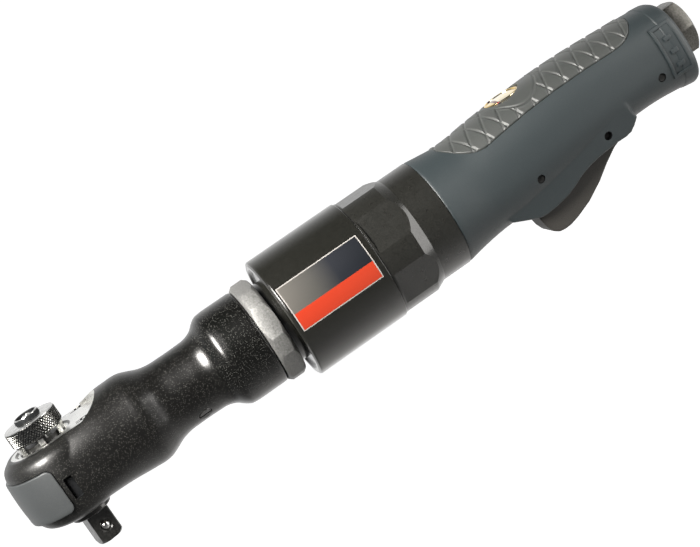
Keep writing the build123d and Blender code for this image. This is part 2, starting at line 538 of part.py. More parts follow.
# ---------------------------------------------------------------- lever
lever = side_prism([(206.0, -24.6), (205.9, -20.5), (208.5, -17.6), (213.0, -15.7), (216.0, -15.1),
                    (231.0, -14.6), (237.0, -12.6), (240.4, -9.2), (242.6, -7.0),
                    (LEVER_X, -6.4), (246.6, -6.9), (248.6, -9.0), (251.2, -13.2),
                    (250.9, -16.3), (246.8, -17.8), (240.8, -21.4), (234.8, -25.6),
                    (227.0, -29.9), (219.7, -32.5), (215.5, -33.5), (212.6, -33.6),
                    (210.2, -33.1), (208.2, -31.6), (206.8, -28.6)], -7.0, 7.0)
lever = lever - side_prism([(209.0, -22.5), (214.5, -17.9), (230.5, -17.2), (236.0, -18.2),
                            (229.0, -23.4), (218.0, -27.6), (212.5, -27.0)], -5.0, 5.0)
lever = lever - bar_y(PIN_R + 0.04, -8, 8, LEVER_X, LEVER_H)
parts["lever"] = lever

# ---------------------------------------------------------------- air inlet
inlet = hexagon(INLET_AF, GRIP_X1, INLET_X1, INLET_H)
inlet = inlet & turned([(GRIP_X1, 0), (GRIP_X1, 11.6), (GRIP_X1 + 0.5, 12.2),
                        (INLET_X1 - 1.2, 12.2), (INLET_X1, 10.4), (INLET_X1, 0)], INLET_H)
inlet = inlet + bar_x(8.0, 266.2, GRIP_X1, 0, INLET_H)
inlet = inlet - bar_x(INLET_BORE, 286.0, 300.0, 0, INLET_H) - bar_x(5.0, 285.2, 286.1, 0, INLET_H)
inlet = inlet - bar_x(4.6, 266.0, 285.3, 0, INLET_H)
inlet = inlet - turned([(INLET_X1 - 1.0, 0), (INLET_X1 - 1.0, INLET_BORE), (INLET_X1, 6.6),
                        (INLET_X1 + 1, 6.6), (INLET_X1 + 1, 0)], INLET_H)
for x, h in pin_places:
    inlet = inlet - bar_y(PIN_R, -24, 24, x, h)
parts["inlet_bushing"] = inlet
screen = bar_x(5.0, 285.2, 285.8, 0, INLET_H) + bar_x(4.55, 272.0, 285.2, 0, INLET_H)
screen = screen - bar_x(3.9, 272.6, 286.0, 0, INLET_H)
for k in range(4):
    for j in range(4):
        slot = block(274.4 + 2.8 * j, 276.2 + 2.8 * j, -0.8, 0.8, 3.0, 6.0)
        screen = screen - Pos(0, 0, ZA + INLET_H) * Rot(90 * k, 0, 0) * Pos(0, 0, -ZA) * slot
parts["inlet_screen"] = screen
parts["inlet_seal"] = tube_x(9.8, 8.0, 290.2, GRIP_X1, 0, INLET_H)
parts["muffler"] = block(264.0, 288.0, -8.0, 8.0, -9.6, -5.2)

for name, shape in parts.items():
    export_step(shape, f"parts/{name}.step")
print(len(parts), "sub-parts written")
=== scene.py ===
import math

import bmesh
import bpy
import numpy as np
from mathutils import Matrix, Vector
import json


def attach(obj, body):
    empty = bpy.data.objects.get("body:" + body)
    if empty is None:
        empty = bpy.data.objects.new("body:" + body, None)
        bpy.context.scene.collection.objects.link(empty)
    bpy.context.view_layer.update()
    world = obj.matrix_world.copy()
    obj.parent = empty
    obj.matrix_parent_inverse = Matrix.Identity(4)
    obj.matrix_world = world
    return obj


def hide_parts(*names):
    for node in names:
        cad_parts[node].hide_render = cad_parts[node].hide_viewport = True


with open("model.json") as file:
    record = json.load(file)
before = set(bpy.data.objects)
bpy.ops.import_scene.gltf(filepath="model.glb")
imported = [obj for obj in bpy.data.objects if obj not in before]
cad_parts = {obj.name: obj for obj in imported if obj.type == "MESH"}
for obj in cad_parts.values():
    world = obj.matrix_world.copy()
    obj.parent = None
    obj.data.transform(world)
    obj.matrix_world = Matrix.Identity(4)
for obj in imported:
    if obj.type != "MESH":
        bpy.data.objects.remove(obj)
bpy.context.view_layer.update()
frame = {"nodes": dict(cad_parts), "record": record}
NODES = frame["nodes"]

# The tool lies along X: head at x = 0, air inlet at the far end. Shapes are given in millimetres,
# with heights measured from the tool axis.
MM = 0.001
ZA = 19.2                   # height of the tool axis above the origin
TURN = math.radians(14.6)   # resting angle of the square drive
SQUARE = 9.53               # across the square drive
BALL_H = -25.5              # height of the detent ball
PLUG_X, PLUG_REACH, PLUG_TURN = 55.4, 12.1, 137
KNOB_TEETH, KNOB_R, KNOB_LOW, KNOB_HIGH = 54, 10.85, 17.4, 24.1
NUT_FRONT, NUT_REAR = 89.35, 97.2
BARREL_R, BARREL_REAR = 25.9, 141.0
GRIP_FRONT, GRIP_REAR = 173.2, 291.0
PAD_FRONT, PAD_REAR, PITCH = 185.4, 277.8, 7.5
LEAF_X, LEAF_FRONT, LEAF_REAR, LEAF_HALF = 223.5, 15.0, 11.0, 14.4
BADGE_X = 219.9
PIN_R = 1.75
LEVER_PIN = (244.3, -10.3)
CROSS_PINS = ((211.9, -8.7), (274.4, -3.1), LEVER_PIN)
INLET_H = 6.2               # height of the inlet's bore
HEX_FLATS, HEX_FRONT, HEX_REAR = 21.0, 291.0, 299.2
FLOOR_Z = -0.6              # metres

# ------------------------------------------------------------------ camera
yaw, elevation, distance = math.radians(8.4), math.radians(12.5), 0.733
aim = Vector((0.1321, 0.0, (ZA - 0.35) * MM))
back = Vector((-math.sin(yaw) * math.cos(elevation), -math.cos(yaw) * math.cos(elevation),
               math.sin(elevation)))
camera = bpy.data.objects.new("camera", bpy.data.cameras.new("camera"))
bpy.context.collection.objects.link(camera)
camera.data.lens = 97.45
camera.data.sensor_width = 36.0
camera.data.clip_start = 0.02
right = Vector((0, 0, 1)).cross(back).normalized()
up = back.cross(right)
lean = math.radians(34.7) - math.atan2(up.x, right.x)
axes = Matrix((right, up, back)).transposed() @ Matrix.Rotation(-lean, 3, "Z")
camera.matrix_world = Matrix.Translation(aim + back * distance) @ axes.to_4x4()
bpy.context.scene.camera = camera
bpy.context.scene.view_settings.view_transform = "Standard"


# ------------------------------------------------------------------ mesh helpers (millimetres)
def link(name, verts, faces, soft=32.0):
    me = bpy.data.meshes.new(name)
    me.from_pydata((np.asarray(verts, float) * MM).tolist(), [], faces)
    bm = bmesh.new()
    bm.from_mesh(me)
    bmesh.ops.recalc_face_normals(bm, faces=bm.faces)
    bm.to_mesh(me)
    bm.free()
    o = bpy.data.objects.new(name, me)
    bpy.context.collection.objects.link(o)
    shade(o, soft)
    return o


def shade(o, soft=32.0):
    me = o.data
    me.polygons.foreach_set("use_smooth", [True] * len(me.polygons))
    me.set_sharp_from_angle(angle=math.radians(soft))


def skin(name, rings, loop=False, soft=32.0):
    """Quads between neighbouring rings; a ring of one point is a tip."""
    verts, ids, faces = [], [], []
    for ring in rings:
        ids.append(list(range(len(verts), len(verts) + len(ring))))
        verts.extend(ring)
    pairs = list(zip(ids[:-1], ids[1:]))
    if loop:
        pairs.append((ids[-1], ids[0]))
    for a, b in pairs:
        n = max(len(a), len(b))
        for k in range(n):
            j = (k + 1) % n
            if len(a) == 1:
                faces.append((a[0], b[k], b[j]))
            elif len(b) == 1:
                faces.append((a[k], b[0], a[j]))
            else:
                faces.append((a[k], b[k], b[j], a[j]))
    if not loop:
        for end in (ids[0], ids[-1]):
            if len(end) > 1:
                faces.append(tuple(end))
    return link(name, verts, faces, soft)


def circle(a, r, axis, at, seg):
    if r < 1e-6:
        seg = 1
    out = []
    for k in range(seg):
        c, s = math.cos(2 * math.pi * k / seg), math.sin(2 * math.pi * k / seg)
        if axis == "x":
            out.append((a, at[1] + r * c, ZA + at[2] + r * s))
        elif axis == "y":
            out.append((at[0] + r * c, a, ZA + at[2] + r * s))
        else:
            out.append((at[0] + r * c, at[1] + r * s, ZA + a))
    return out


def fillet(pts, loop=False, steps=4):
    """Rounds the corners of (a, r) or (a, r, radius) points; no radius means a sharp corner."""
    out = []
    n = len(pts)
    for i, p in enumerate(pts):
        size = p[2] if len(p) > 2 else 0
        if size <= 0 or (not loop and i in (0, n - 1)):
            out.append((p[0], p[1]))
            continue
        here = np.array(p[:2], float)
        prev = np.array(pts[i - 1][:2], float) - here
        nxt = np.array(pts[(i + 1) % n][:2], float) - here
        la, lb = np.linalg.norm(prev), np.linalg.norm(nxt)
        ua, ub = prev / la, nxt / lb
        half = math.acos(max(-1, min(1, float(ua @ ub)))) / 2
        reach = min(size / math.tan(half), la * 0.49, lb * 0.49)
        size = reach * math.tan(half)
        mid = (ua + ub) / np.linalg.norm(ua + ub)
        centre = here + mid * (size / math.sin(half))
        a0 = here + ua * reach - centre
        a1 = here + ub * reach - centre
        t0 = math.atan2(a0[1], a0[0])
        t1 = math.atan2(a1[1], a1[0])
        d = (t1 - t0 + math.pi) % (2 * math.pi) - math.pi
        for k in range(steps + 1):
            t = t0 + d * k / steps
            out.append((centre[0] + size * math.cos(t), centre[1] + size * math.sin(t)))
    return out


def lathe(name, outline, axis="x", at=(0, 0, 0), seg=160, loop=False, soft=32.0):
    rings = [circle(a, r, axis, at, seg) for a, r in outline]
    return skin(name, rings, loop, soft)


def rod(axis, r, a0, a1, at=(0, 0, 0), seg=64):
    return lathe("rod", [(a0, 0), (a0, r), (a1, r), (a1, 0)], axis, at, seg)


def prism(name, outline, lo, hi, axis="y", soft=32.0, taper=None):
    """(x, h) outline swept along Y, (y, h) along X, or (x, y) along Z."""
    rings = []
    for side, e in ((-1, lo), (1, hi)):
        ring = []
        for p, q in outline:
            if axis == "y":
                w = taper(q) * side if taper else e
                ring.append((p, w, ZA + q))
            elif axis == "x":
                ring.append((e, p, ZA + q))
            else:
                ring.append((p, q, ZA + e))
        rings.append(ring)
    return skin(name, rings, soft=soft)


def brick(x0, x1, y0, y1, h0, h1):
    return prism("brick", [(x0, h0), (x1, h0), (x1, h1), (x0, h1)], y0, y1)


def bake(o, soft=32.0):
    bpy.context.view_layer.update()
    me = bpy.data.meshes.new_from_object(o.evaluated_get(bpy.context.evaluated_depsgraph_get()))
    o.modifiers.clear()
    o.data = me
    shade(o, soft)
    return o


def drop(o):
    bpy.data.objects.remove(o, do_unlink=True)


def cut(o, tools, how="DIFFERENCE", soft=32.0):
    for t in tools:
        m = o.modifiers.new("cut", "BOOLEAN")
        m.operation = how
        m.solver = "MANIFOLD"
        m.object = t
    bake(o, soft)
    for t in tools:
        drop(t)
    return o


def melt(o, voxel, rounds, others=(), soft=60.0):
    """Joins closed solids into one skin and rounds off where they meet."""
    if others:
        cut(o, list(others), "UNION")
    m = o.modifiers.new("remesh", "REMESH")
    m.mode = "VOXEL"
    m.voxel_size = voxel * MM
    m = o.modifiers.new("smooth", "SMOOTH")
    m.factor = 0.5
    m.iterations = rounds
    return bake(o, soft)


def bevel(o, width, steps=2, angle=35.0, soft=32.0):
    m = o.modifiers.new("bevel", "BEVEL")
    m.width = width * MM
    m.segments = steps
    m.limit_method = "ANGLE"
    m.angle_limit = math.radians(angle)
    m.harden_normals = False
    return bake(o, soft)


def turn_z(o, angle):
    o.data.transform(Matrix.Rotation(angle, 4, "Z"))
    return o


def spread(xs, values, x):
    """Smooth interpolation through a table."""
    xs = np.asarray(xs, float)
    v = np.asarray(values, float)
    m = np.gradient(v, xs)
    i = int(np.clip(np.searchsorted(xs, x) - 1, 0, len(xs) - 2))
    h = xs[i + 1] - xs[i]
    t = (x - xs[i]) / h
    return ((2 * t ** 3 - 3 * t ** 2 + 1) * v[i] + (t ** 3 - 2 * t ** 2 + t) * h * m[i]
            + (-2 * t ** 3 + 3 * t ** 2) * v[i + 1] + (t ** 3 - t ** 2) * h * m[i + 1])


def curve(pts, count):
    """Smooth open curve through points, evenly sampled."""
    p = np.asarray(pts, float)
    s = np.concatenate([[0], np.cumsum(np.linalg.norm(np.diff(p, axis=0), axis=1))])
    return [(spread(s, p[:, 0], t), spread(s, p[:, 1], t)) for t in np.linspace(0, s[-1], count)]


# ------------------------------------------------------------------ materials
def shader(name, base, rough, metal=0.0, **more):
    m = bpy.data.materials.new(name)
    m.use_nodes = True
    b = m.node_tree.nodes["Principled BSDF"]
    b.inputs["Base Color"].default_value = (*base, 1)
    b.inputs["Roughness"].default_value = rough
    b.inputs["Metallic"].default_value = metal
    for key, value in more.items():
        b.inputs[key.replace("_", " ")].default_value = value
    return m


def node(m, kind, **props):
    n = m.node_tree.nodes.new(kind)
    for k, v in props.items():
        setattr(n, k, v)
    return n


def wire(m, a, b):
    m.node_tree.links.new(a, b)


def socket(m, name):
    return m.node_tree.nodes["Principled BSDF"].inputs[name]


def noise(m, scale, detail=3.0, stretch=None, rough=0.5):
    """Noise in the row frame; scale is in cycles per metre."""
    tc = node(m, "ShaderNodeTexCoord")
    mp = node(m, "ShaderNodeMapping")
    mp.inputs["Scale"].default_value = stretch or (1, 1, 1)
    nz = node(m, "ShaderNodeTexNoise")
    nz.inputs["Scale"].default_value = scale
    nz.inputs["Detail"].default_value = detail
    nz.inputs["Roughness"].default_value = rough
    wire(m, tc.outputs["Object"], mp.inputs["Vector"])
    wire(m, mp.outputs["Vector"], nz.inputs["Vector"])
    return nz.outputs["Fac"]


def flecks(m, scale):
    """Distance to the nearest of scattered points; scale is in cycles per metre."""
    tc = node(m, "ShaderNodeTexCoord")
    vo = node(m, "ShaderNodeTexVoronoi")
    vo.inputs["Scale"].default_value = scale
    wire(m, tc.outputs["Object"], vo.inputs["Vector"])
    return vo.outputs["Distance"]


def ramp(m, fac, stops):
    r = node(m, "ShaderNodeValToRGB")
    cr = r.color_ramp
    while len(cr.elements) < len(stops):
        cr.elements.new(0.5)
    for e, (pos, col) in zip(cr.elements, stops):
        e.position = pos
        e.color = (*col, 1) if len(col) == 3 else (col[0], col[0], col[0], 1)
    wire(m, fac, r.inputs["Fac"])
    return r.outputs["Color"]


def along(m, axis, lo, hi):
    """0 to 1 between two places along one axis of the tool, in metres."""
    tc = node(m, "ShaderNodeTexCoord")
    sep = node(m, "ShaderNodeSeparateXYZ")
    span = node(m, "ShaderNodeMapRange")
    span.inputs["From Min"].default_value = lo
    span.inputs["From Max"].default_value = hi
    wire(m, tc.outputs["Object"], sep.inputs["Vector"])
    wire(m, sep.outputs[axis], span.inputs["Value"])
    return span.outputs["Result"]


def tint(m, fac, dark, light, lo=0.35, hi=0.65):
    wire(m, ramp(m, fac, [(lo, dark), (hi, light)]), socket(m, "Base Color"))


def gloss(m, fac, r0, r1, lo=0.3, hi=0.7):
    wire(m, ramp(m, fac, [(lo, (r0,)), (hi, (r1,))]), socket(m, "Roughness"))


def bump(m, fac, strength, depth, chain=None):
    b = node(m, "ShaderNodeBump")
    b.inputs["Strength"].default_value = strength
    b.inputs["Distance"].default_value = depth * MM
    wire(m, fac, b.inputs["Height"])
    if chain is not None:
        wire(m, chain, b.inputs["Normal"])
    wire(m, b.outputs["Normal"], socket(m, "Normal"))
    return b.outputs["Normal"]


# forged head: dark lacquer with a fine cast grain and bright flecks
lacquer = shader("head_lacquer", (0.006, 0.006, 0.005), 0.3, 0.0, Coat_Weight=0.15, Coat_Roughness=0.12,
                 Specular_IOR_Level=0.36)
tint(lacquer, flecks(lacquer, 1700), (0.060, 0.060, 0.055), (0.0012, 0.0012, 0.0010), 0.05, 0.32)
gloss(lacquer, along(lacquer, "X", -0.02, 0.075), 0.43, 0.26, 0.0, 1.0)
bump(lacquer, noise(lacquer, 2600, 3, rough=0.7), 0.25, 0.06,
     bump(lacquer, noise(lacquer, 300, 2), 0.2, 0.2))
machined = shader("head_machined", (0.72, 0.72, 0.70), 0.28, 1.0)
gloss(machined, noise(machined, 500, 4, (1, 14, 1)), 0.22, 0.38)
bump(machined, noise(machined, 600, 3, (1, 16, 1)), 0.15, 0.03)
bore_steel = shader("bore_steel", (0.16, 0.16, 0.155), 0.35, 1.0)
bump(bore_steel, noise(bore_steel, 900, 3), 0.2, 0.03)

composite = shader("composite", (0.045, 0.056, 0.062), 0.5, 0.0, Specular_IOR_Level=0.5)
tint(composite, noise(composite, 3000, 3, rough=0.7), (0.010, 0.015, 0.017), (0.017, 0.023, 0.025), 0.3, 0.7)
gloss(composite, noise(composite, 1800, 3), 0.44, 0.56)
bump(composite, noise(composite, 3200, 3, rough=0.6), 0.14, 0.04)
# the pad is coloured lighter and warmer than the handle: partly its own tone, partly painted light for its
# place on top of the handle where the key light falls
pad_rubber = shader("pad_rubber", (0.062, 0.063, 0.060), 0.46, 0.0, Specular_IOR_Level=0.5)
tint(pad_rubber, noise(pad_rubber, 3000, 3, rough=0.7), (0.026, 0.029, 0.028), (0.040, 0.042, 0.040),
     0.3, 0.7)
bump(pad_rubber, noise(pad_rubber, 3200, 3, rough=0.6), 0.14, 0.04)
nose_grey = shader("nose_grey", (0.085, 0.092, 0.094), 0.5, 0.0, Specular_IOR_Level=0.5)
tint(nose_grey, noise(nose_grey, 2800, 3, rough=0.7), (0.019, 0.021, 0.023), (0.031, 0.034, 0.034), 0.3, 0.7)
bump(nose_grey, noise(nose_grey, 2800, 3), 0.12, 0.04)
# painted shade: a near-black finish laid inside holes, slots, grooves and letter strokes, where shade falls
painted_gap_shade = shader("painted_gap_shade", (0.004, 0.0045, 0.005), 0.6, Specular_IOR_Level=0.12)
tint(painted_gap_shade, noise(painted_gap_shade, 1200, 2), (0.003, 0.0035, 0.004), (0.006, 0.0065, 0.007))
bump(painted_gap_shade, noise(painted_gap_shade, 1500, 2), 0.1, 0.03)

barrel_gloss = shader("barrel_gloss", (0.011, 0.011, 0.009), 0.2, 0.0, Coat_Weight=0.3, Coat_Roughness=0.05)
tint(barrel_gloss, noise(barrel_gloss, 2400, 3), (0.004, 0.004, 0.0033), (0.009, 0.009, 0.0075))
gloss(barrel_gloss, noise(barrel_gloss, 300, 4), 0.15, 0.24)
bump(barrel_gloss, noise(barrel_gloss, 1600, 3), 0.04, 0.03)
housing_black = shader("housing_black", (0.011, 0.011, 0.009), 0.28, 0.0, Coat_Weight=0.2,
                       Coat_Roughness=0.12)
tint(housing_black, noise(housing_black, 2400, 4), (0.004, 0.004, 0.0033), (0.011, 0.011, 0.0095))
gloss(housing_black, noise(housing_black, 500, 4), 0.27, 0.33)
bump(housing_black, noise(housing_black, 2400, 3), 0.05, 0.03)

lever_black = shader("lever_black", (0.028, 0.026, 0.023), 0.62, 0.0, Specular_IOR_Level=0.35)
tint(lever_black, noise(lever_black, 3000, 4, rough=0.8), (0.010, 0.009, 0.008), (0.032, 0.030, 0.026),
     0.35, 0.7)
bump(lever_black, noise(lever_black, 2600, 3, rough=0.7), 0.35, 0.06)

nut_steel = shader("nut_steel", (0.42, 0.42, 0.41), 0.34, 0.55)
tint(nut_steel, noise(nut_steel, 1500, 4, rough=0.8), (0.085, 0.085, 0.082), (0.18, 0.18, 0.175), 0.36, 0.66)
gloss(nut_steel, noise(nut_steel, 1500, 4), 0.44, 0.56)
bump(nut_steel, noise(nut_steel, 2600, 4, rough=0.75), 0.30, 0.05)
knob_steel = shader("knob_steel", (0.36, 0.36, 0.35), 0.2, 1.0)
tint(knob_steel, noise(knob_steel, 600, 3), (0.44, 0.44, 0.43), (0.60, 0.60, 0.585))
gloss(knob_steel, noise(knob_steel, 800, 3), 0.14, 0.28)
bump(knob_steel, noise(knob_steel, 1500, 2), 0.06, 0.02)
knurl_steel = shader("knurl_steel", (0.20, 0.20, 0.195), 0.26, 1.0)
tint(knurl_steel, noise(knurl_steel, 600, 3), (0.085, 0.085, 0.08), (0.15, 0.15, 0.145))
gloss(knurl_steel, noise(knurl_steel, 900, 3), 0.22, 0.34)
dark_steel = shader("dark_steel", (0.012, 0.012, 0.0115), 0.3, 0.3, Coat_Weight=0.2)
tint(dark_steel, noise(dark_steel, 700, 4), (0.007, 0.007, 0.0065), (0.018, 0.018, 0.017))
gloss(dark_steel, noise(dark_steel, 600, 3), 0.24, 0.4)
bump(dark_steel, noise(dark_steel, 1300, 3), 0.12, 0.04)
bright_steel = shader("bright_steel", (0.66, 0.66, 0.64), 0.22, 1.0)
tint(bright_steel, noise(bright_steel, 700, 3), (0.56, 0.56, 0.54), (0.74, 0.74, 0.72))
gloss(bright_steel, noise(bright_steel, 700, 4), 0.16, 0.32)
bump(bright_steel, noise(bright_steel, 1600, 2), 0.05, 0.02)
inlet_steel = shader("inlet_steel", (0.105, 0.102, 0.094), 0.38, 1.0)
tint(inlet_steel, noise(inlet_steel, 1500, 4), (0.080, 0.078, 0.071), (0.135, 0.131, 0.120))
gloss(inlet_steel, noise(inlet_steel, 700, 4), 0.30, 0.46)
bump(inlet_steel, noise(inlet_steel, 1200, 3), 0.12, 0.03)
gold = shader("badge_gold", (0.86, 0.62, 0.24), 0.16, 1.0, Coat_Weight=0.5, Coat_Roughness=0.04)
DEEP_GOLD, DARK_RED = (0.80, 0.56, 0.18), (0.10, 0.004, 0.003)
badge_bands = ramp(gold, along(gold, "X", 0.2129, 0.2269),
                   [(0.0, DEEP_GOLD), (0.17, (0.86, 0.66, 0.30)), (0.20, DARK_RED), (0.26, DARK_RED),
                    (0.29, (0.95, 0.86, 0.66)), (0.70, (0.94, 0.80, 0.50)), (1.0, DEEP_GOLD)])
wire(gold, badge_bands, socket(gold, "Base Color"))
gloss(gold, noise(gold, 900, 3), 0.1, 0.22)
bump(gold, noise(gold, 1200, 2), 0.04, 0.02)
bronze = shader("bronze", (0.43, 0.27, 0.12), 0.4, 1.0)
gloss(bronze, noise(bronze, 900, 3), 0.3, 0.5)
tint(bronze, noise(bronze, 1200, 3), (0.34, 0.21, 0.09), (0.50, 0.33, 0.16))
alloy = shader("alloy", (0.62, 0.63, 0.64), 0.34, 1.0)
gloss(alloy, noise(alloy, 900, 3), 0.26, 0.42)
bump(alloy, noise(alloy, 900, 3), 0.1, 0.02)
black_rubber = shader("black_rubber", (0.02, 0.02, 0.02), 0.7)
bump(black_rubber, noise(black_rubber, 1500, 3), 0.2, 0.05)
laminate = shader("laminate", (0.33, 0.2, 0.09), 0.55)
tint(laminate, noise(laminate, 900, 4, (0.1, 1, 1)), (0.26, 0.15, 0.06), (0.40, 0.26, 0.13))
felt = shader("felt", (0.28, 0.27, 0.24), 0.95)
tint(felt, noise(felt, 1800, 4), (0.2, 0.19, 0.17), (0.36, 0.35, 0.32))
bump(felt, noise(felt, 1800, 4), 0.6, 0.2)

SLOT_LOOKS = {"head_black": lacquer, "composite": composite, "composite_pad": pad_rubber,
              "nose_pad": nose_grey, "lever_black": lever_black, "barrel_black": barrel_gloss,
              "housing_black": housing_black, "nut_steel": nut_steel, "knob_steel": knob_steel,
              "dark_steel": dark_steel, "steel": bright_steel, "bronze": bronze, "brass": gold,
              "alloy": alloy, "spring_steel": bright_steel, "rubber": black_rubber,
              "vane": laminate, "felt": felt, "label": barrel_gloss}
SLOT_OF = {sub["node"]: sub["material_slot"] for sub in frame["record"]["subparts"]}


def looks(o, m):
    o.data.materials.clear()
    o.data.materials.append(m)
    return o


for name, o in NODES.items():
    looks(o, dark_steel if name in ("handle_pins", "lever_pin") else SLOT_LOOKS[SLOT_OF[name]])


def stand_in(o, nodes, body, look=None):
    """Visual piece o takes the place of the CAD nodes and rides on their body."""
    if look:
        looks(o, look)
    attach(o, body)
    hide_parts(*nodes)
    return o


# ------------------------------------------------------------------ ratchet head
side = curve([(-16.8, 11.0), (-13.9, 17.6), (-8.0, 20.1), (-1.0, 20.6), (6.5, 20.35), (11.8, 19.0),
              (14.5, 15.6)], 60)
puck = lathe("puck", [(-16.8, 0)] + [(h, r) for h, r in side] + [(14.5, 0)], "z", seg=240)
BRIDGE = ((1.0, 20.3, 16.0, -16.75, 3.0), (10.0, 20.4, 17.0, -16.85, 2.8), (20.0, 20.0, 18.3, -17.6, 2.4),
          (27.5, 19.5, 19.0, -18.7, 2.1), (33.2, 19.2, 19.2, -19.2, 2.0))


def oval_ring(table, x, seg=240):
    """Rounded box section at x; a table row is (x, half width, top, bottom, power)."""
    t = np.array(table)
    half, top, low, n = [spread(t[:, 0], t[:, j], x) for j in (1, 2, 3, 4)]
    mid, tall = (top + low) / 2, (top - low) / 2
    out = []
    for k in range(seg):
        a = 2 * math.pi * k / seg
        c, s = math.cos(a), math.sin(a)
        r = (abs(c) ** n + abs(s) ** n) ** (-1 / n)
        out.append((x, half * r * c, ZA + mid + tall * r * s))
    return out


bridge = skin("bridge", [oval_ring(BRIDGE, x) for x in np.linspace(1.0, 33.2, 30)])
flow = curve([(30.0, 19.05), (33.2, 19.25), (36.5, 18.9), (40.0, 17.6), (44.0, 15.9), (47.5, 15.15),
              (52.5, 14.95), (60.0, 15.0), (65.0, 15.35), (68.0, 16.5), (70.5, 18.6), (72.6, 19.9),
              (75.5, 20.3)], 110)
rear = lathe("rear", [(30.0, 0)] + flow + [(76.0, 20.35), (88.5, 20.3), (89.1, 19.7), (89.1, 0)],
             "x", seg=240)
head = melt(puck, 0.42, 8, [bridge, rear])
head.name = head.data.name = "head"


def carve(o, tools, soft=32.0):
    """Cuts away tools and leaves each tool's own material on the faces it makes."""
    for t in tools:
        m = o.modifiers.new("cut", "BOOLEAN")
        m.operation = "DIFFERENCE"
        m.solver = "MANIFOLD"
        m.material_mode = "TRANSFER"
        m.object = t
    bake(o, soft)
    for t in tools:
        drop(t)
    return o


def frame_block(grow, deep):
    """Block over the nose whose front edge and corners outline the guard."""
    x1, lo, hi, r = -3.7 + grow, -10.5 - grow, 8.0 + grow, 2.6 + grow
    pts = fillet([(-30, lo), (x1, lo, r), (x1, hi, r), (-30, hi)], steps=8)
    return prism("block", pts, -deep, deep)


side_line = [(-30.0, 30.0), (3.0, 30.0), (5.0, 17.8), (9.0, 16.2), (13.0, 15.2), (16.5, 14.0), (19.8, 12.2),
             (22.5, 9.8), (24.6, 6.4), (25.7, 3.1)]
spot_line = curve(side_line[2:] + [(26.0, 0.0)] + [(x, -y) for x, y in side_line[:1:-1]], 60)
spot_outline = side_line[:2] + spot_line + [(x, -y) for x, y in side_line[1::-1]]
spot = looks(prism("spot", spot_outline, 14.5, 40.0, "z"), machined)
mouth = looks(lathe("mouth", [(6.0, 0), (6.0, 13.2), (13.2, 13.2), (13.2, 11.3), (13.7, 11.3),
                              (14.5, 12.2), (16.0, 12.2), (16.0, 0)], "z", seg=160), bore_steel)
chamber = looks(rod("z", 17.2, -8.6, 6.6, seg=128), bore_steel)
channel = looks(brick(0, 40.0, -12.6, 12.6, -6.9, 6.3), bore_steel)
crank_room = looks(lathe("crank_room", [(37.0, 0), (37.0, 9.5), (39.5, 12.0), (66.0, 12.1), (66.0, 10.4),
                                        (73.0, 10.4), (73.0, 14.2), (76.5, 17.6), (92.0, 17.6),
                                        (92.0, 0)], "x", seg=96), bore_steel)
well = looks(rod("z", 10.6, -18.0, -8.0, seg=96), bore_steel)
looks(head, lacquer)
tools = [spot, mouth, chamber, channel, crank_room, well]
# the side slots are lined with painted shade
for s in (-1, 1):
    notch = prism("notch", fillet([(-1.75, -7.1, 0.6), (1.75, -7.1, 0.6), (1.75, 1.9, 0.6),
                                   (-1.75, 1.9, 0.6)], loop=True), *sorted((s * 18.6, s * 23.0)))
    tools.append(looks(notch, painted_gap_shade))
# painted shade: the gap round the nose guard is lined near-black so it shows as a dark outline
pocket = lathe("pocket", [(-14, 19.3), (-14, 26), (12, 26), (12, 19.3)], "z", seg=256, loop=True)
cut(pocket, [frame_block(0.28, 24)], "INTERSECT")
tools.append(looks(pocket, painted_gap_shade))
PLUG_AT = (Matrix.Translation(Vector((PLUG_X, 0, ZA)) * MM)
           @ Matrix.Rotation(math.radians(PLUG_TURN), 4, "X"))
# painted shade inside the plug's hole
hole = looks(rod("z", 2.85, -7.3, -4.2, seg=48), painted_gap_shade)
hole.data.transform(PLUG_AT)
tools.append(hole)
# strokes of the direction letters F and R, cut in and painted near-black inside as painted shade
for x0, x1, y0, y1 in ((13.6, 18.6, 10.3, 11.2), (17.7, 18.6, 10.3, 14.2), (15.6, 16.5, 10.3, 13.4),
                       (13.8, 18.8, -11.8, -10.9), (17.9, 18.8, -11.8, -8.0), (15.8, 16.7, -11.8, -8.0),
                       (15.8, 18.8, -8.8, -7.9), (13.8, 16.2, -9.6, -8.7)):
    tools.append(looks(brick(x0, x1, y0, y1, 14.0, 15.5), painted_gap_shade))
carve(head, tools, 35)
stand_in(head, ["ratchet_housing"], "tool_body")

bumper = lathe("nose_guard", [(-12, 19.4)] + curve([(-12, 20.1), (-10.5, 20.75), (-6.5, 21.15), (-1.5, 21.3),
                                                    (3.5, 21.2), (8.0, 20.9), (9.5, 20.7)], 30)
               + [(9.5, 19.4)], "z", seg=256, loop=True)
cut(bumper, [frame_block(-0.02, 24)], "INTERSECT")
melt(bumper, 0.26, 4)
stand_in(bumper, ["nose_bumper"], "tool_body", nose_grey)

plug = lathe("lube_plug", [(0, 0), (0, 2.8), (2.6, 2.8), (3.0, 2.45), (3.0, 0)], "z", seg=64)
cut(plug, [brick(-3.2, 3.2, -0.38, 0.38, 1.6, 4.0)])
plug.data.transform(PLUG_AT @ Matrix.Translation(Vector((0, 0, PLUG_REACH - ZA)) * MM))
stand_in(plug, ["grease_plug"], "tool_body", dark_steel)

